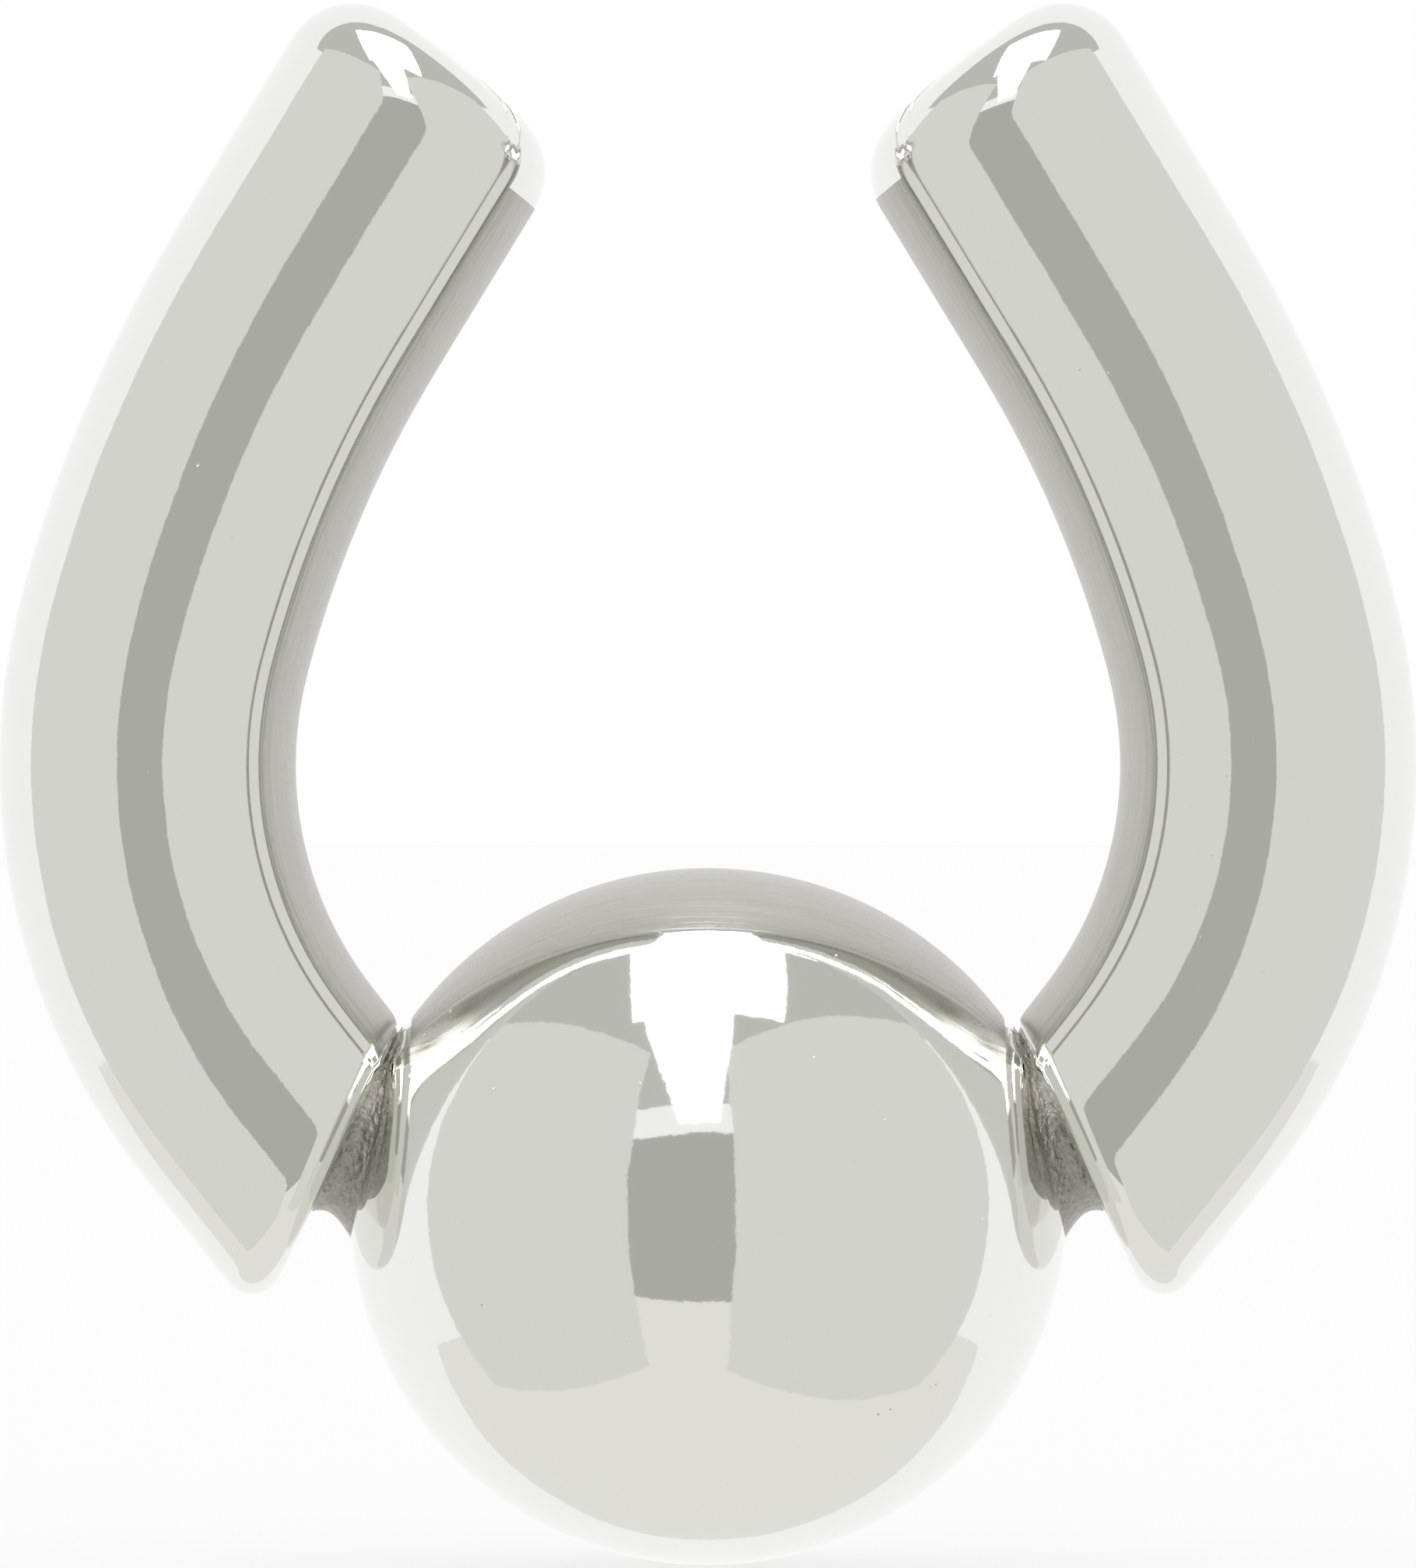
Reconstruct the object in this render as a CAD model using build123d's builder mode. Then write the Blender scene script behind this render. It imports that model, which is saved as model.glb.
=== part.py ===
from build123d import *
import os
from math import cos, radians, sin, sqrt

# Open ear cuff in the style of an oversize ball closure ring.
#
# Two bent bars of round stock rise from a solid ball and lean back towards each other, leaving a
# mouth at the top that the rim of the ear passes through. The inside of the loop is ground to a
# soft crown that runs on over the top of the ball. Each bar is cut flat at its foot, stands on a
# flat filed on the ball, and is held there by a short waisted neck of solder.
#
# Frame: X across the cuff, Y through it from front to back, Z up. The origin is the centre of the
# opening. The left half mirrors the right one about the YZ plane. Sizes are in millimetres.

os.makedirs("parts", exist_ok=True)

# ---- Ball -------------------------------------------------------------------------------------
ball_diameter = 8.0
ball_drop = 4.83            # from the origin down to the ball's centre
ball_grind_depth = 0.23     # taken off the top of the ball
ball_grind_excess = 0.10    # how much flatter than the ball its ground top is, across the cuff
ball_crown_excess = 1.15    # how much flatter than the ball its ground top is, front to back

# ---- Bars -------------------------------------------------------------------------------------
bar_diameter = 3.40
bar_crown_inset = 0.09      # how far the ground inner side lies inside the round stock
bar_crown_width = 2.30      # width of the ground strip, front to back
bar_strip_round = 1.0       # radius that eases the edges of the ground strip
foot_lean = 38.5            # degrees from vertical, outwards, where the bar leaves the ball
foot_length = 1.30          # straight run above the middle of the foot
belly_radius = 5.62         # centreline radius of the lower bend
belly_turn = 53.2           # degrees
shoulder_radius = 14.25     # centreline radius of the upper, slacker bend
shoulder_turn = 16.7        # degrees
arm_length = 3.02           # straight run up to the middle of the end face
end_face_tilt = 7.5         # degrees that the end face leans in past square
end_round = 0.80            # polished rounding of the free end
foot_round = 0.35           # rounding of the foot's rim

# ---- Seat and solder neck ---------------------------------------------------------------------
seat_angle = 26.0           # degrees above horizontal, seen from the ball's centre
seat_depth = 0.06           # depth of the flat filed on the ball
foot_offset = 1.47          # from the middle of the flat to the bar's centreline, along the flat
neck_radius = 1.04          # waist of the solder neck
neck_offset = 0.72          # from the middle of the flat to the middle of the neck
neck_hollow = 0.35          # radius of the hollow round the waist
neck_flare = 0.28           # how far the neck spreads past its waist
neck_sink = 0.17            # from the foot's cut face down to the waist
neck_inset = 0.04           # how far the neck stays below the ground inside of the bar

# ---- Worked out from the sizes above ----------------------------------------------------------
ball_radius = ball_diameter / 2
ball_centre = Vector(0, 0, -ball_drop)
bar_radius = bar_diameter / 2
stock_spare = bar_diameter  # bar left past each cut until it is trimmed
strip_half = bar_crown_width / 2
strip_level = sqrt(bar_radius**2 - strip_half**2)
crown_height = bar_radius - bar_crown_inset - strip_level
crown_radius = (strip_half**2 + crown_height**2) / (2 * crown_height)
crown_centre = crown_radius - bar_radius + bar_crown_inset

seat_normal = Vector(cos(radians(seat_angle)), 0, sin(radians(seat_angle)))
seat_fall = Vector(sin(radians(seat_angle)), 0, -cos(radians(seat_angle)))
seat_middle = ball_centre + seat_normal * (ball_radius - seat_depth)
foot_middle = seat_middle + seat_fall * foot_offset
foot_direction = Vector(sin(radians(foot_lean)), 0, cos(radians(foot_lean)))
stock_start = foot_middle - foot_direction * stock_spare
stock_plane = Plane(origin=stock_start, x_dir=(foot_direction.Z, 0, -foot_direction.X),
                    z_dir=foot_direction)


def seat_plane(side):
    """Plane of the filed flat: side is 1 on the right and -1 on the left, facing away."""
    middle = Vector(side * seat_middle.X, 0, seat_middle.Z)
    normal = Vector(side * seat_normal.X, 0, seat_normal.Z)
    return Plane(origin=middle, x_dir=(0, 1, 0), z_dir=normal)


def stock_section():
    """Bar section at the start of the stock: round, with the inner side ground to a crown."""
    with BuildSketch(stock_plane) as section:
        Circle(bar_radius)
        with Locations((crown_centre, 0)):
            Circle(crown_radius, mode=Mode.INTERSECT)
        fillet(section.vertices().sort_by(Axis.Y)[-1], bar_strip_round)
        fillet(section.vertices().sort_by(Axis.Y)[0], bar_strip_round)
    return section.sketch


# ---- Ball -------------------------------------------------------------------------------------
# The ground top is part of a barrel lying front to back. The barrel is a little rounder than
# flat across the cuff and much slacker along its own length, so it leaves a lens of ground metal.
barrel_radius = ball_radius + ball_grind_excess
barrel_crown = ball_radius + ball_crown_excess
barrel_top = -ball_drop + ball_radius - ball_grind_depth
barrel_axis = barrel_top - barrel_radius
barrel_edge = barrel_top - barrel_crown + sqrt(barrel_crown**2 - ball_radius**2)

with BuildPart() as ball:
    with Locations(ball_centre):
        Sphere(ball_radius)
    with BuildSketch(Plane.YZ):
        with BuildLine():
            crown_line = ThreePointArc(
                (-ball_radius, barrel_edge), (0, barrel_top), (ball_radius, barrel_edge)
            )
            Polyline(
                crown_line @ 1,
                (ball_radius, barrel_axis),
                (-ball_radius, barrel_axis),
                crown_line @ 0,
            )
        make_face()
    revolve(axis=Axis((0, 0, barrel_axis), (0, 1, 0)), mode=Mode.INTERSECT)
    for side in (1, -1):
        split(bisect_by=seat_plane(side), keep=Keep.BOTTOM)

# ---- Bars -------------------------------------------------------------------------------------
with BuildPart() as right_bar:
    with BuildLine(Plane.XZ) as bar_axis:
        foot_run = Line(stock_start, foot_middle + foot_direction * foot_length)
        belly = JernArc(foot_run @ 1, foot_run % 1, belly_radius, belly_turn)
        shoulder = JernArc(belly @ 1, belly % 1, shoulder_radius, shoulder_turn)
        arm_run = Line(shoulder @ 1, (shoulder @ 1) + (shoulder % 1) * (arm_length + stock_spare))
    arm_direction = arm_run % 1
    end_middle = (arm_run @ 1) - arm_direction * stock_spare
    end_normal = arm_direction.rotate(Axis.Y, -end_face_tilt)
    sweep(sections=stock_section(), path=bar_axis.wire())
    split(bisect_by=seat_plane(1), keep=Keep.TOP)
    split(bisect_by=Plane(origin=end_middle, z_dir=end_normal), keep=Keep.BOTTOM)
    end_face = right_bar.faces().filter_by(GeomType.PLANE).sort_by(Axis.Z)[-1]
    fillet(end_face.edges(), end_round)
    foot_face = right_bar.faces().filter_by(GeomType.PLANE).sort_by(Axis.Z)[0]
    fillet(foot_face.edges(), foot_round)

with BuildPart() as left_bar:
    mirror(right_bar.part, about=Plane.YZ)

# ---- Solder necks -----------------------------------------------------------------------------
# A waisted plug between foot and ball. It fills the groove under the foot's rounded rim, flares
# out over the ball and stops just below the ground inside of the bar.
neck_foot = seat_middle + seat_fall * neck_offset
neck_plane = Plane(origin=neck_foot, x_dir=seat_fall, z_dir=(0, -1, 0))
neck_reach = neck_radius + neck_flare
neck_root = ball_radius - seat_depth - sqrt(ball_radius**2 - (neck_offset + neck_reach) ** 2)

with BuildPart() as right_solder:
    with BuildSketch(neck_plane):
        with Locations((0, -neck_root)):
            Rectangle(neck_reach, neck_root + foot_round, align=(Align.MIN, Align.MIN))
        with Locations((neck_radius + neck_hollow, -neck_sink)):
            Circle(neck_hollow, mode=Mode.SUBTRACT)
    revolve(axis=Axis(neck_foot, seat_normal))
    with BuildSketch(stock_plane):
        with Locations((crown_centre, 0)):
            Circle(crown_radius - neck_inset)
    extrude(amount=stock_spare + foot_length, mode=Mode.INTERSECT)
    add(right_bar.part, mode=Mode.SUBTRACT)
    add(ball.part, mode=Mode.SUBTRACT)

with BuildPart() as left_solder:
    mirror(right_solder.part, about=Plane.YZ)

# ---- Write the pieces -------------------------------------------------------------------------
pieces = {
    "ball": ball,
    "left_bar": left_bar,
    "right_bar": right_bar,
    "left_solder": left_solder,
    "right_solder": right_solder,
}
for name, piece in pieces.items():
    piece.part.label = name
    export_step(piece.part, f"parts/{name}.step")
    print(name, round(piece.part.volume, 4), "mm3", len(piece.solids()), "solid")
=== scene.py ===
# %% [markdown]
# # An open ear cuff in bright plated metal
# The real piece is cast or bent from round brass rod, soldered to a solid ball, polished and
# plated. A mirror finish shows every facet, so the bars, the ball and the necks are rebuilt here
# as dense, smooth meshes from the same sizes as the solids, and each one stands for its solid.

# %% Load the solids
import bpy
import numpy as np
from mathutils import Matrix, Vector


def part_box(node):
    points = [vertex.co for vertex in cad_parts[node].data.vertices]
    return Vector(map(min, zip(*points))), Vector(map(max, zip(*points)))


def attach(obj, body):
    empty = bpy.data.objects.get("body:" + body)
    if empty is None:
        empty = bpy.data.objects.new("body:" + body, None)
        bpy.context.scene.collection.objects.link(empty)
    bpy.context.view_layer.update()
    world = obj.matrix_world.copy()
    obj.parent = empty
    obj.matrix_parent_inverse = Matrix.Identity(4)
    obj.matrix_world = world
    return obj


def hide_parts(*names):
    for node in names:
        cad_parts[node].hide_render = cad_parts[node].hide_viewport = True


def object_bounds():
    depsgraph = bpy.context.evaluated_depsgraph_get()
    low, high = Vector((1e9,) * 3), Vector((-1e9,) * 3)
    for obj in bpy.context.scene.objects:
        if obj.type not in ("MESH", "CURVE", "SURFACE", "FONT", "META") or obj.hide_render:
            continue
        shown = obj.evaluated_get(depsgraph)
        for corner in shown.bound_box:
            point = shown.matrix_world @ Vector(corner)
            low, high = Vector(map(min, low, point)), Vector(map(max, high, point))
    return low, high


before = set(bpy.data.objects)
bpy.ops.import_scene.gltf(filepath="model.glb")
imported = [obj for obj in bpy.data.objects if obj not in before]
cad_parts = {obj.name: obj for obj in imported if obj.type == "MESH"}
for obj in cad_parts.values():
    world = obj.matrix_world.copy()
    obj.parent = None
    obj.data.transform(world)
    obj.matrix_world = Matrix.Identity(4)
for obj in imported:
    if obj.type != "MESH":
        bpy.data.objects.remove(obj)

cad_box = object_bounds()
print("solids:", sorted(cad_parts), "box in metres:", cad_box)

# %% [markdown]
# ## Working in millimetres
# Blender counts in metres. Jewellery is thought of in millimetres, so every shape below is worked
# out in millimetres and scaled once, as its mesh is made.

# %% Units, colours, and the sizes read from the solids
MM = 0.001


def srgb(hex_colour):
    """A hex colour as linear values with alpha, the way Blender's sockets want it."""
    channels = [int(hex_colour[i:i + 2], 16) / 255 for i in (1, 3, 5)]
    return [c / 12.92 if c <= 0.04045 else ((c + 0.055) / 1.055) ** 2.4 for c in channels] + [1.0]


ball_low, ball_high = (np.array(corner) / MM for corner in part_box("ball"))
ball_radius = (ball_high[0] - ball_low[0]) / 2
ball_centre = np.array([0.0, 0.0, ball_low[2] + ball_radius])
bar_low, bar_high = (np.array(corner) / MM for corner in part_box("right_bar"))
bar_radius = (bar_high[1] - bar_low[1]) / 2
print("ball radius", round(ball_radius, 3), "mm, bar radius", round(bar_radius, 3), "mm")

# %% [markdown]
# ## Where the bar sits on the ball
# A small flat is filed on the ball, 26 degrees above its middle, and the bar's foot is cut to
# stand on it. Both the foot and the solder neck are laid out from that flat.

# %% The filed flat
seat_depth = 0.06
foot_offset = 1.47      # down the flat, from its middle to the bar's middle line
seat_tilt = np.radians(26.0)
seat_normal = np.array([np.cos(seat_tilt), 0.0, np.sin(seat_tilt)])
seat_fall = np.array([np.sin(seat_tilt), 0.0, -np.cos(seat_tilt)])
seat_middle = ball_centre + seat_normal * (ball_radius - seat_depth)
foot_middle = seat_middle + seat_fall * foot_offset
print("middle of the right foot", foot_middle.round(3), "mm")

# %% [markdown]
# ## The line of the bar
# The bar runs straight from its foot, turns through a tight belly and a slacker shoulder, and
# ends in a straight arm. Bent rod never changes its curve at once, so the lean is smoothed a
# little along the length. A mirror finish shows the difference.

# %% The bar's centreline
foot_lean = 38.5        # degrees outwards from upright where the bar leaves the ball
foot_length = 1.30
belly_radius, belly_turn = 5.62, 53.2
shoulder_radius, shoulder_turn = 14.25, 16.7
arm_length = 3.02
line_spare = 2.0        # line kept past both ends, so that the cuts always meet it
line_step = 0.02
soft_steps = 30         # steps on each side over which the lean is smoothed

belly_length = belly_radius * np.radians(belly_turn)
shoulder_length = shoulder_radius * np.radians(shoulder_turn)
lean_stops = np.cumsum([0.0, foot_length, belly_length, shoulder_length, arm_length])
arm_lean_degrees = foot_lean - belly_turn - shoulder_turn
lean_values = [foot_lean, foot_lean, foot_lean - belly_turn, arm_lean_degrees, arm_lean_degrees]
bar_length = lean_stops[-1]
line_run = np.arange(-line_spare, bar_length + line_spare, line_step)
lean = np.interp(line_run, lean_stops, lean_values)
softening = np.hanning(2 * soft_steps + 1) / np.hanning(2 * soft_steps + 1).sum()
lean = np.radians(np.convolve(np.pad(lean, soft_steps, mode="edge"), softening, mode="valid"))
line_x = np.cumsum(np.sin(lean)) * line_step
line_z = np.cumsum(np.cos(lean)) * line_step
line_x += foot_middle[0] - np.interp(0.0, line_run, line_x)
line_z += foot_middle[2] - np.interp(0.0, line_run, line_z)
print("bar length along its middle", round(bar_length, 2), "mm")

# %% [markdown]
# ## The section of the bar
# Round rod, with its inner side ground to a soft crown. The ground strip meets the round at an
# edge that the buffing wheel dragged over, which leaves a shallow dip beside the strip.

# %% The bar's section
strip_half = 1.15       # half the width of the ground strip
crown_inset = 0.09      # how far the ground side lies inside the round rod
dip_depth, dip_from_strip, dip_width = 0.010, 0.15, 0.055
crowding = 0.035        # draws the points of the round together near the strip
edge_angle = np.arcsin(strip_half / bar_radius)
edge_in = bar_radius * np.cos(edge_angle)
crown_rise = bar_radius - crown_inset - edge_in
crown_radius = (strip_half ** 2 + crown_rise ** 2) / (2 * crown_rise)
crown_angle = np.arcsin(strip_half / crown_radius)
crown_points, round_points = 36, 172

crown_turn = np.linspace(-crown_angle, crown_angle, crown_points, endpoint=False)
crown_in = crown_radius * (np.cos(crown_turn) - 1) + bar_radius - crown_inset
crown_out = crown_radius * np.sin(crown_turn)
ease = np.linspace(0.0, 1.0, round_points, endpoint=False)
ease = ease - crowding * np.sin(2 * np.pi * ease)
round_turn = edge_angle + (2 * np.pi - 2 * edge_angle) * ease
dip_run = bar_radius * np.minimum(round_turn - edge_angle, 2 * np.pi - edge_angle - round_turn)
dip = dip_depth * np.exp(-((dip_run - dip_from_strip) / dip_width) ** 2)
round_in = (bar_radius - dip) * np.cos(round_turn)
round_out = (bar_radius - dip) * np.sin(round_turn)
section_in = np.concatenate([crown_in, round_in])
section_out = np.concatenate([crown_out, round_out])
round_run = bar_radius * (round_turn - edge_angle) + strip_half
section_run = np.concatenate([crown_radius * crown_turn, round_run])
print("points round the bar", len(section_run))

# %% [markdown]
# ## One mesh from rings of points
# Each piece is a stack of closed rings with the same number of points. Neighbouring rings are
# joined by four-sided faces, and the two ends close on one point each. The UV map holds real
# millimetres, along and round the piece, so that brushing can follow the metal.

# %% Rings to mesh
def ring_mesh(name, rings, runs, turns, slot_of_face, materials):
    """rings: closed rings of points in mm. runs and turns: mm along the piece and round it."""
    count, size = rings.shape[0], rings.shape[1]
    first, last = rings[0].mean(axis=0), rings[-1].mean(axis=0)
    points = np.concatenate([rings.reshape(-1, 3), [first, last]])
    row, column = np.meshgrid(np.arange(count - 1), np.arange(size), indexing="ij")
    after = (column + 1) % size
    quads = np.stack([row * size + column, row * size + after,
                      (row + 1) * size + after, (row + 1) * size + column], axis=-1)
    columns = np.arange(size)
    head, tail = count * size, count * size + 1
    start_fan = [[head, (c + 1) % size, c] for c in columns]
    end_fan = [[tail, (count - 1) * size + c, (count - 1) * size + (c + 1) % size] for c in columns]
    faces = quads.reshape(-1, 4).tolist() + start_fan + end_fan
    mesh = bpy.data.meshes.new(name)
    mesh.from_pydata((points * MM).tolist(), [], faces)
    turns_after = np.append(turns[1:], turns[-1] + (turns[-1] - turns[-2]))
    runs_grid = np.broadcast_to(runs[:, None], (count, size))
    here = np.broadcast_to(turns, (count - 1, size))
    beyond = np.broadcast_to(turns_after, (count - 1, size))
    corners = [(runs_grid[:-1], here), (runs_grid[:-1], beyond),
               (runs_grid[1:], beyond), (runs_grid[1:], here)]
    uv = np.stack([np.stack(corner, axis=-1) for corner in corners], axis=2).reshape(-1, 2)
    fan_uv = [(runs[0], turns[c]) for c in columns for _ in range(3)]
    fan_uv += [(runs[-1], turns[c]) for c in columns for _ in range(3)]
    layer = mesh.uv_layers.new(name="millimetres")
    layer.data.foreach_set("uv", np.concatenate([uv, fan_uv]).astype(np.float32).ravel())
    for material in materials:
        mesh.materials.append(material)
    slots = slot_of_face(row.ravel(), column.ravel())
    slots = np.concatenate([slots, np.zeros(2 * size, dtype=int)]).astype(np.int32)
    mesh.polygons.foreach_set("material_index", slots)
    mesh.polygons.foreach_set("use_smooth", np.ones(len(faces), dtype=bool))
    mesh.validate()
    mesh.update()
    piece = bpy.data.objects.new(name, mesh)
    bpy.context.scene.collection.objects.link(piece)
    print(name, len(points), "points,", len(faces), "faces")
    return piece


# %% [markdown]
# ## Adding shader nodes
# One small function adds a node, gives it its settings and joins its inputs, so that each
# material below reads as a list of what it is made of.

# %% A node with its settings and links
def add_node(tree, kind, inputs=None, **settings):
    """A node of that kind. An input is given a plain value, or a socket to be linked to."""
    node = tree.nodes.new(kind)
    for key, value in settings.items():
        setattr(node, key, value)
    for key, value in (inputs or {}).items():
        if isinstance(value, bpy.types.NodeSocket):
            tree.links.new(value, node.inputs[key])
        else:
            node.inputs[key].default_value = value
    return node


def new_material(name):
    """An empty material and its node tree."""
    material = bpy.data.materials.new(name)
    material.use_nodes = True
    material.node_tree.nodes.clear()
    return material, material.node_tree


# %% [markdown]
# ## Bright rhodium-tone plate over brass
# Plating copies what is under it: a buffed surface with a faint slow wave from the wheel and a
# few pinholes from the casting. The eye sees a clear mirror whose reflections wander slightly,
# with tiny dark specks: the pinholes are real dents, and their darkness is painted shade in them.
# The wave is about 1 mm long and 6 thousandths of a millimetre high, and the specks are under
# 0.05 mm across and gather in patches.

# %% Bright plate
def bright_plate(name, pinholes):
    """Mirror-bright plate. pinholes: how deep the pinholes go and how dark the painted shade in them gets,
    from 0 to 1.
    """
    material, tree = new_material(name)
    place = add_node(tree, "ShaderNodeTexCoord").outputs["Object"]
    in_mm = add_node(tree, "ShaderNodeVectorMath", {0: place, 3: 1 / MM}, operation="SCALE").outputs[0]
    wave = add_node(tree, "ShaderNodeTexNoise", {"Vector": in_mm, "Scale": 0.9, "Detail": 1.0})
    fine = add_node(tree, "ShaderNodeTexNoise", {"Vector": in_mm, "Scale": 7.0, "Detail": 2.0})
    wave_bump = add_node(tree, "ShaderNodeBump", {"Height": wave.outputs[0], "Distance": 0.006 * MM,
                                                  "Strength": 1.0})
    fine_bump = add_node(tree, "ShaderNodeBump", {"Height": fine.outputs[0], "Distance": 0.0006 * MM,
                                                  "Strength": 1.0, "Normal": wave_bump.outputs[0]})
    holes = add_node(tree, "ShaderNodeTexVoronoi", {"Vector": in_mm, "Scale": 3.2, "Randomness": 1.0})
    hole = add_node(tree, "ShaderNodeMapRange", {"Value": holes.outputs["Distance"], "From Min": 0.0,
                                                 "From Max": 0.07, "To Min": 1.0, "To Max": 0.0},
                    interpolation_type="SMOOTHSTEP")
    patches = add_node(tree, "ShaderNodeTexNoise", {"Vector": in_mm, "Scale": 0.8, "Detail": 2.0})
    patchy = add_node(tree, "ShaderNodeMapRange", {"Value": patches.outputs[0], "From Min": 0.50,
                                                   "From Max": 0.62, "To Min": 0.0, "To Max": pinholes})
    pit_and_painted_shade = add_node(tree, "ShaderNodeMath", {0: hole.outputs[0], 1: patchy.outputs[0]}, operation="MULTIPLY")
    pit_bump = add_node(tree, "ShaderNodeBump", {"Height": pit_and_painted_shade.outputs[0], "Distance": 0.02 * MM,
                                                 "Strength": 1.0, "Normal": fine_bump.outputs[0]},
                        invert=True)
    # Painted shade: the colour darkens inside the pinholes, where shade would fall, as the bump sinks them.
    colour = add_node(tree, "ShaderNodeMix", {0: pit_and_painted_shade.outputs[0], 6: srgb("#EDEDEA"), 7: srgb("#8E8C86")},
                      data_type="RGBA")
    rough = add_node(tree, "ShaderNodeMapRange", {"Value": pit_and_painted_shade.outputs[0], "To Min": 0.045, "To Max": 0.45})
    surface = add_node(tree, "ShaderNodeBsdfPrincipled", {
        "Base Color": colour.outputs[2], "Metallic": 1.0, "Roughness": rough.outputs[0],
        "Normal": pit_bump.outputs[0]})
    add_node(tree, "ShaderNodeOutputMaterial", {"Surface": surface.outputs[0]})
    return material


bar_plate = bright_plate("bright_plate_on_bars", 0.25)
ball_plate = bright_plate("bright_plate_on_ball", 0.7)


# %% [markdown]
# ## Belt-ground metal under the plate
# The inside of the cuff is ground on a belt and plated without buffing. Its fine scratches run
# along the bar, about 0.05 mm apart, drawn here nearly 0.08 mm apart so that they show. They blur
# the reflection across the scratches much more than along them, and the strip looks grey and silky.

# %% Ground strip
scratches_per_mm = (0.35, 13.0, 1.0)    # along the metal, and across it
streaks_per_mm = (0.25, 2.6, 1.0)


def ground_metal(name):
    """Scratched plate whose lines follow the UV map's millimetres."""
    material, tree = new_material(name)
    run = add_node(tree, "ShaderNodeUVMap", uv_map="millimetres").outputs[0]
    scratches = add_node(tree, "ShaderNodeMapping", {"Vector": run, "Scale": scratches_per_mm})
    lines = add_node(tree, "ShaderNodeTexNoise", {"Vector": scratches.outputs[0], "Scale": 1.0,
                                                  "Detail": 4.0, "Roughness": 0.62})
    streaks = add_node(tree, "ShaderNodeMapping", {"Vector": run, "Scale": streaks_per_mm})
    broad = add_node(tree, "ShaderNodeTexNoise", {"Vector": streaks.outputs[0], "Scale": 1.0, "Detail": 2.0})
    bump = add_node(tree, "ShaderNodeBump", {"Height": lines.outputs[0], "Distance": 0.010 * MM,
                                             "Strength": 1.0})
    rough = add_node(tree, "ShaderNodeMapRange", {"Value": broad.outputs[0], "From Min": 0.3,
                                                  "From Max": 0.7, "To Min": 0.22, "To Max": 0.36})
    colour = add_node(tree, "ShaderNodeMix", {0: broad.outputs[0], 6: srgb("#A5A49D"), 7: srgb("#C9C8C2")},
                      data_type="RGBA")
    surface = add_node(tree, "ShaderNodeBsdfPrincipled", {
        "Base Color": colour.outputs[2], "Metallic": 1.0, "Roughness": rough.outputs[0],
        "Normal": bump.outputs[0]})
    add_node(tree, "ShaderNodeOutputMaterial", {"Surface": surface.outputs[0]})
    return material


ground_strip = ground_metal("belt_ground_metal")


# %% [markdown]
# ## Silver solder under thin plate
# Solder freezes with pits and small beads about 0.1 mm across, and the plate over it is thin and
# dull. It looks dark and grainy next to the buffed metal: partly its own duller grey, and partly
# painted shade that darkens its hollows.

# %% Solder
def pitted_solder(name):
    """Grainy, beaded solder, with painted shade darkening its hollows."""
    material, tree = new_material(name)
    place = add_node(tree, "ShaderNodeTexCoord").outputs["Object"]
    in_mm = add_node(tree, "ShaderNodeVectorMath", {0: place, 3: 1 / MM}, operation="SCALE").outputs[0]
    grain_and_painted_shade = add_node(tree, "ShaderNodeTexNoise", {"Vector": in_mm, "Scale": 9.0, "Detail": 5.0,
                                                  "Roughness": 0.7})
    beads = add_node(tree, "ShaderNodeTexVoronoi", {"Vector": in_mm, "Scale": 11.0})
    bump = add_node(tree, "ShaderNodeBump", {"Height": grain_and_painted_shade.outputs[0], "Distance": 0.06 * MM,
                                             "Strength": 1.0})
    bead_bump = add_node(tree, "ShaderNodeBump", {"Height": beads.outputs[0], "Distance": 0.02 * MM,
                                                  "Strength": 1.0, "Normal": bump.outputs[0]})
    # Painted shade: the colour follows the bump's height, so the hollows come out darker.
    colour = add_node(tree, "ShaderNodeMix", {0: grain_and_painted_shade.outputs[0], 6: srgb("#827D75"), 7: srgb("#D5D2CB")},
                      data_type="RGBA")
    surface = add_node(tree, "ShaderNodeBsdfPrincipled", {
        "Base Color": colour.outputs[2], "Metallic": 1.0, "Roughness": 0.28,
        "Normal": bead_bump.outputs[0]})
    add_node(tree, "ShaderNodeOutputMaterial", {"Surface": surface.outputs[0]})
    return material


solder_metal = pitted_solder("pitted_solder")

# %% [markdown]
# ## Sweeping the bar and rounding its ends
# The section follows the line ring by ring. Each end is cut by a plane: the foot by the filed
# flat, the free end by a cut that leans 7.5 degrees past square. Round each cut the edge is
# rolled over with an arc that is tangent to both faces, and the free end is left slightly domed.

# %% The bar
end_tilt = np.radians(7.5)
end_round = 0.80
foot_round = 0.35
end_dome = 0.05
roll_rings, face_rings = 19, 25
body_rings = 190


def place_on_line(run, inward, outward):
    """Points at `run` mm along the line, `inward` towards the opening and `outward` in depth."""
    lean_here = np.interp(run, line_run, lean)
    x = np.interp(run, line_run, line_x) - inward * np.cos(lean_here)
    z = np.interp(run, line_run, line_z) + inward * np.sin(lean_here)
    return np.stack([x, np.broadcast_to(outward, np.shape(x)), z], axis=-1)


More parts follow.
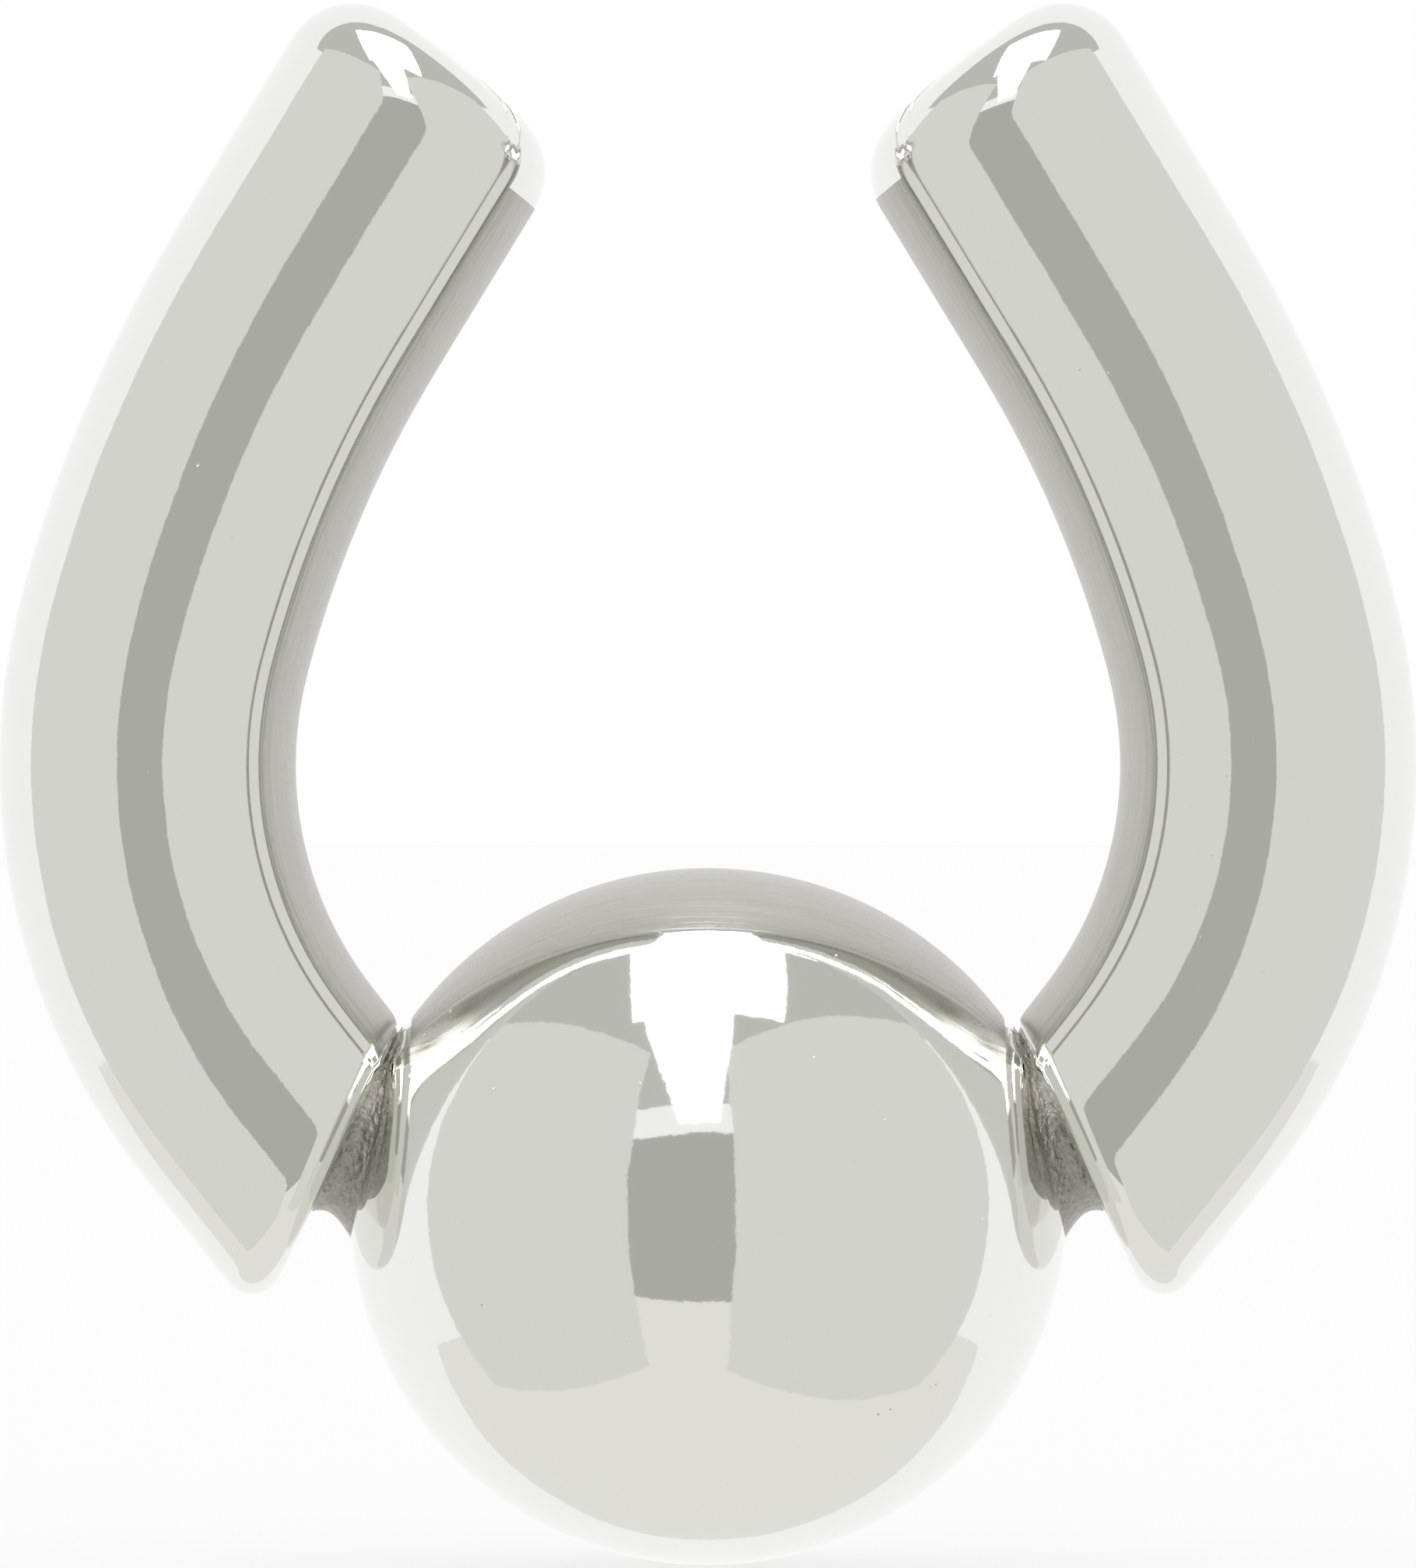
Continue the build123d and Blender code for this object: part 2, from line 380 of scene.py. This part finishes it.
def rolled_end(run_at, cut_point, cut_normal, radius, dome, direction):
    """Rings from where the rolled edge starts to the middle of a cut face."""
    lean_end = np.interp(run_at, line_run, lean)
    along = np.array([np.sin(lean_end), 0.0, np.cos(lean_end)]) * direction
    base = place_on_line(run_at, section_in, section_out)
    reach = (cut_point - base) @ cut_normal / (along @ cut_normal)
    corner = base + reach[:, None] * along
    step_on = np.roll(base, -1, axis=0) - np.roll(base, 1, axis=0)
    outward = np.cross(along, step_on) * direction
    outward /= np.linalg.norm(outward, axis=1)[:, None]
    outward *= np.sign(np.sum(outward * (base - base.mean(axis=0)), axis=1))[:, None]
    turn = np.arccos(np.clip(outward @ cut_normal, -1, 1))
    back_off = radius * np.tan(turn / 2)
    inward_on_cut = -(outward - (outward @ cut_normal)[:, None] * cut_normal)
    inward_on_cut /= np.linalg.norm(inward_on_cut, axis=1)[:, None]
    side = corner - back_off[:, None] * along
    face = corner + back_off[:, None] * inward_on_cut
    weight = np.cos(turn / 2)[:, None]
    rings = []
    for t in np.linspace(0, 1, roll_rings):
        blend = (1 - t) ** 2 * side + 2 * t * (1 - t) * weight * corner + t ** 2 * face
        rings.append(blend / ((1 - t) ** 2 + 2 * t * (1 - t) * weight + t ** 2))
    middle = face.mean(axis=0)
    for t in np.linspace(0, 0.96, face_rings)[1:]:
        lift = dome * (1 - (1 - t) ** 2)
        rings.append(face + t * (middle - face) + lift * cut_normal)
    return np.array(rings), side


def build_bar(name, mirror):
    """One bar as a piece. mirror: True for the left one."""
    arm_lean = np.interp(bar_length, line_run, lean)
    arm_end = place_on_line(bar_length, 0.0, 0.0)
    end_normal = np.array([np.sin(arm_lean - end_tilt), 0.0, np.cos(arm_lean - end_tilt)])
    end_rings, end_side = rolled_end(bar_length, arm_end, end_normal, end_round, end_dome, 1)
    foot_rings, foot_side = rolled_end(0.0, foot_middle, -seat_normal, foot_round, 0.0, -1)
    arm_along = np.array([np.sin(arm_lean), 0.0, np.cos(arm_lean)])
    foot_along = np.array([np.sin(lean[0]), 0.0, np.cos(lean[0])])
    end_run = bar_length + (end_side - arm_end) @ arm_along
    foot_run = (foot_side - foot_middle) @ foot_along
    share = np.linspace(0, 1, body_rings)[:, None]
    runs = foot_run + (end_run - foot_run) * share
    body = place_on_line(runs, section_in, section_out)
    rings = np.concatenate([foot_rings[::-1], body[1:-1], end_rings])
    row_run = np.concatenate([
        np.linspace(-2.5, runs[0].mean(), len(foot_rings)), runs.mean(axis=1)[1:-1],
        np.linspace(runs[-1].mean(), bar_length + 1.5, len(end_rings))])
    if mirror:
        rings = rings * np.array([-1.0, 1.0, 1.0])
        rings = rings[::-1]
        row_run = row_run[::-1]
    strip_rows = (len(foot_rings) - 8, len(rings) - len(end_rings) + 2)
    if mirror:
        strip_rows = (len(rings) - strip_rows[1], len(rings) - strip_rows[0])

    def finish_of(row, column):
        on_strip = (column < crown_points) & (row > strip_rows[0]) & (row < strip_rows[1])
        return np.where(on_strip, 1, 0)

    piece = ring_mesh(name, rings, row_run, section_run, finish_of, [bar_plate, ground_strip])
    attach(piece, "root")
    return piece


right_bar = build_bar("right_bar_polished", False)
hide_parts("right_bar")
left_bar = build_bar("left_bar_polished", True)
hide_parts("left_bar")

# %% [markdown]
# ## The ball
# The ball is a sphere whose top is ground to part of a slack barrel, so the ground metal is a
# lens with its points towards the feet. Slices across the cuff keep the lens's edge on a line of
# the mesh, which keeps that edge crisp.

# %% The ball
grind_depth = 0.23
barrel_top = ball_centre[2] + ball_radius - grind_depth
barrel_round = ball_radius + 0.10
barrel_girth = ball_radius + 1.15
barrel_axis = barrel_top - barrel_girth
lens_half_length = 3.3
thin_edge = 0.12        # radians: the lens's columns never close up more than this
ground, plain = 60, 200


def build_ball(name):
    """The ball in slices across the cuff. The first columns of each slice lie on the lens."""
    turn = np.radians(np.linspace(-89.7, 89.7, 300))
    share_ground = np.linspace(0, 1, ground, endpoint=False)
    share_plain = np.linspace(0, 1, plain, endpoint=False)
    rings = []
    for x in ball_radius * np.sin(turn):
        slice_radius = np.sqrt(ball_radius ** 2 - x ** 2)
        barrel_radius = barrel_top - barrel_round + np.sqrt(barrel_round ** 2 - x ** 2) - barrel_axis
        gap = ball_centre[2] - barrel_axis
        cos_ball = (barrel_radius ** 2 - slice_radius ** 2 - gap ** 2) / (2 * gap * slice_radius)
        edge = np.arccos(np.clip(cos_ball, -1, 1))
        on_lens = edge > thin_edge
        edge = max(edge, thin_edge)
        angle = edge + (2 * np.pi - 2 * edge) * share_plain
        around_plain = np.stack([np.full(plain, x), slice_radius * np.sin(angle),
                                 ball_centre[2] + slice_radius * np.cos(angle)], axis=-1)
        if on_lens:
            edge_out = slice_radius * np.sin(edge)
            edge_up = ball_centre[2] + slice_radius * np.cos(edge) - barrel_axis
            half = np.arctan2(edge_out, edge_up)
            angle = -half + 2 * half * share_ground
            around_ground = np.stack([np.full(ground, x), barrel_radius * np.sin(angle),
                                      barrel_axis + barrel_radius * np.cos(angle)], axis=-1)
        else:
            angle = -edge + 2 * edge * share_ground
            around_ground = np.stack([np.full(ground, x), slice_radius * np.sin(angle),
                                      ball_centre[2] + slice_radius * np.cos(angle)], axis=-1)
        rings.append(np.concatenate([around_ground, around_plain]))
    rings = np.array(rings)
    for side in (1, -1):
        normal = seat_normal * np.array([side, 1, 1])
        over = np.maximum((rings - ball_centre) @ normal - (ball_radius - seat_depth), 0)
        rings = rings - over[..., None] * normal
    lens_reach = np.abs(rings[:, 0, 0]) < lens_half_length

    def finish_of(row, column):
        return np.where((column < ground) & lens_reach[row] & lens_reach[row + 1], 1, 0)

    turns = np.linspace(0, 2 * np.pi * ball_radius, ground + plain, endpoint=False)
    piece = ring_mesh(name, rings, ball_radius * turn, turns, finish_of, [ball_plate, ground_strip])
    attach(piece, "root")
    return piece


ball = build_ball("ball_polished")
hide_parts("ball")

# %% [markdown]
# ## The solder necks
# Solder draws itself into the groove between foot and ball and freezes with a hollow waist. The
# foot's cut face is an oval, longer down the flat than across it. The neck keeps just inside that
# oval, sinks a little into the ball at one end, and runs up inside the bar at the other.

# %% The necks
neck_down = 0.72                        # down the flat to the neck's middle
foot_half_length, foot_half_width = 1.80, 1.62
neck_sink, neck_top = 0.05, 0.12        # depth into the ball, and height inside the bar
neck_points, neck_rings = 160, 26


def build_neck(name, mirror):
    """One solder neck as a piece. mirror: True for the left one."""
    turn = np.linspace(0, 2 * np.pi, neck_points, endpoint=False)
    down, out = np.cos(turn), np.sin(turn)
    # The distance from the neck's middle to the foot's oval rim solves a*x*x + b*x + c = 0.
    a = (down / foot_half_length) ** 2 + (out / foot_half_width) ** 2
    b = 2 * down * (neck_down - foot_offset) / foot_half_length ** 2
    c = ((neck_down - foot_offset) / foot_half_length) ** 2 - 1
    rim = (-b + np.sqrt(b ** 2 - 4 * a * c)) / (2 * a)
    top_reach = np.minimum(rim * 0.93, 1.38)
    low_reach = np.minimum(top_reach + 0.05, 1.40)
    waist = np.minimum(top_reach - 0.16, 1.10)
    rings = []
    for t in np.linspace(0, 1, neck_rings):
        reach = (1 - t) ** 2 * low_reach + 2 * t * (1 - t) * (waist - 0.1) + t ** 2 * top_reach
        fall = neck_down + down * reach
        depth = out * reach
        under = np.sqrt(np.maximum(ball_radius ** 2 - fall ** 2 - depth ** 2, 0))
        root = under - (ball_radius - seat_depth) - neck_sink
        height = root + t * (neck_top - root)
        rings.append(seat_middle + fall[:, None] * seat_fall + height[:, None] * seat_normal
                     + depth[:, None] * np.array([0.0, 1.0, 0.0]))
    rings = np.array(rings)
    if mirror:
        rings = (rings * np.array([-1.0, 1.0, 1.0]))[::-1]
    runs = np.linspace(0, 0.5, neck_rings)
    piece = ring_mesh(name, rings, runs, turn, lambda row, column: row * 0, [solder_metal])
    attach(piece, "root")
    return piece


right_neck = build_neck("right_solder_neck", False)
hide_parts("right_solder")
left_neck = build_neck("left_solder_neck", True)
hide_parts("left_solder")

# %% [markdown]
# ## The floor
# The cuff stands on a white floor. Most of its brightness is its own, so it stays as white as the
# room behind it, and the matt share keeps a faint shadow. The metal doesn't see the floor: so close
# under the ball it would hide the cards, and the pale table card stands for it.

# %% Floor
floor_half = 2.0            # metres
floor_glow_share = 0.72


def white_floor():
    """A floor at the foot of the ball."""
    material, tree = new_material("white_floor")
    matt = add_node(tree, "ShaderNodeBsdfDiffuse", {"Color": srgb("#F4F4F4")})
    glow = add_node(tree, "ShaderNodeEmission", {"Color": (1.0, 1.0, 1.0, 1.0), "Strength": 1.04})
    mix = add_node(tree, "ShaderNodeMixShader", {0: floor_glow_share, 1: matt.outputs[0],
                                                 2: glow.outputs[0]})
    add_node(tree, "ShaderNodeOutputMaterial", {"Surface": mix.outputs[0]})
    level = cad_box[0][2]
    sides = [(-1, -1), (1, -1), (1, 1), (-1, 1)]
    mesh = bpy.data.meshes.new("floor")
    mesh.from_pydata([(x * floor_half, y * floor_half, level) for x, y in sides], [], [(0, 1, 2, 3)])
    mesh.materials.append(material)
    floor = bpy.data.objects.new("floor", mesh)
    bpy.context.scene.collection.objects.link(floor)
    floor.visible_glossy = False


white_floor()

# %% [markdown]
# ## The cards
# A mirror shows its surroundings, so they are most of its look. Two large pale cards stand beside
# the camera, with a darker gap between them that draws a dark band along each bar. A small soft
# light hangs overhead, a grey ceiling darkens the ground top, and a pale table card brightens the
# underside. Only reflections see them. All places are in metres, with the cuff at the middle.

# %% Cards
def card(name, corners, colour, strength):
    """An evenly glowing sheet that only the metal sees."""
    material, tree = new_material(name)
    glow = add_node(tree, "ShaderNodeEmission", {"Color": srgb(colour), "Strength": strength})
    add_node(tree, "ShaderNodeOutputMaterial", {"Surface": glow.outputs[0]})
    mesh = bpy.data.meshes.new(name)
    mesh.from_pydata(corners, [], [(0, 1, 2, 3)])
    mesh.materials.append(material)
    sheet = bpy.data.objects.new(name, mesh)
    bpy.context.scene.collection.objects.link(sheet)
    sheet.visible_camera = False
    sheet.visible_diffuse = False
    sheet.visible_shadow = False


def upright_card(name, near, far, low, high, colour):
    """A card standing on the line from near to far (x, y), between two heights."""
    corners = [(*near, low), (*far, low), (*far, high), (*near, high)]
    card(name, corners, colour, 1.0)


def level_card(name, near, far, height, colour, strength):
    """A level card. near and far are its two edges: left end, right end, and how far back."""
    corners = [(near[0], near[2], height), (near[1], near[2], height),
               (far[1], far[2], height), (far[0], far[2], height)]
    card(name, corners, colour, strength)


upright_card("right_card", (0.030, -0.20), (0.30, 0.06), -0.26, 0.26, "#E1E2DD")
upright_card("left_card", (-0.095, -0.20), (-0.30, 0.06), -0.26, 0.26, "#E1E2DD")
upright_card("camera_gap", (-0.11, -0.21), (0.05, -0.21), -0.12, 0.09, "#B6B6B2")
level_card("top_light", (-0.09, 0.09, -0.10), (-0.06, 0.06, 0.06), 0.22, "#FFFFFF", 4.0)
level_card("top_light_front", (-0.075, 0.03, -0.42), (-0.075, 0.03, -0.10), 0.22, "#FFFFFF", 4.0)
level_card("ceiling_card", (-0.40, 0.40, -0.45), (-0.40, 0.40, 0.16), 0.30, "#C6C6C2", 1.0)
level_card("table_card", (-0.60, 0.60, -0.60), (-0.60, 0.60, 0.30), -0.32, "#EEEEEA", 1.0)

# %% [markdown]
# ## The white room
# The camera and the metal see a room of full white. Matt surfaces get a little less, which is
# enough to light the floor.

# %% World
world = bpy.data.worlds.new("white_room")
bpy.context.scene.world = world
world.use_nodes = True
tree = world.node_tree
tree.nodes.clear()
rays = add_node(tree, "ShaderNodeLightPath")
seen = add_node(tree, "ShaderNodeMath", {0: rays.outputs["Is Camera Ray"], 1: rays.outputs["Is Glossy Ray"]},
                operation="MAXIMUM")
level = add_node(tree, "ShaderNodeMapRange", {"Value": seen.outputs[0], "To Min": 0.9, "To Max": 1.0})
room = add_node(tree, "ShaderNodeBackground", {"Color": (1.0, 1.0, 1.0, 1.0), "Strength": level.outputs[0]})
add_node(tree, "ShaderNodeOutputWorld", {"Surface": room.outputs[0]})

# %% [markdown]
# ## The camera
# A close-up camera looks straight along the cuff's depth from 170 mm, level with its middle. Its
# focal length is worked out so that the cuff fills the height of the frame but for a thin margin.

# %% Camera
view_distance = 0.170
sensor_height = 24.0
picture_height, cuff_height = 2016, 2007    # the cuff's share of the picture's height
low, high = (np.array(corner) for corner in cad_box)
sight = bpy.data.cameras.new("front_camera")
camera = bpy.data.objects.new("front_camera", sight)
bpy.context.scene.collection.objects.link(camera)
camera.location = ((low[0] + high[0]) / 2, -view_distance, (low[2] + high[2]) / 2)
camera.rotation_euler = (np.pi / 2, 0.0, 0.0)
sight.sensor_fit = "VERTICAL"
sight.sensor_height = sensor_height
frame_height = (high[2] - low[2]) * picture_height / cuff_height
sight.lens = sensor_height * view_distance / frame_height
sight.clip_start = 0.001
bpy.context.scene.camera = camera
bpy.context.scene.view_settings.view_transform = "Standard"
print("focal length", round(sight.lens, 1), "mm")
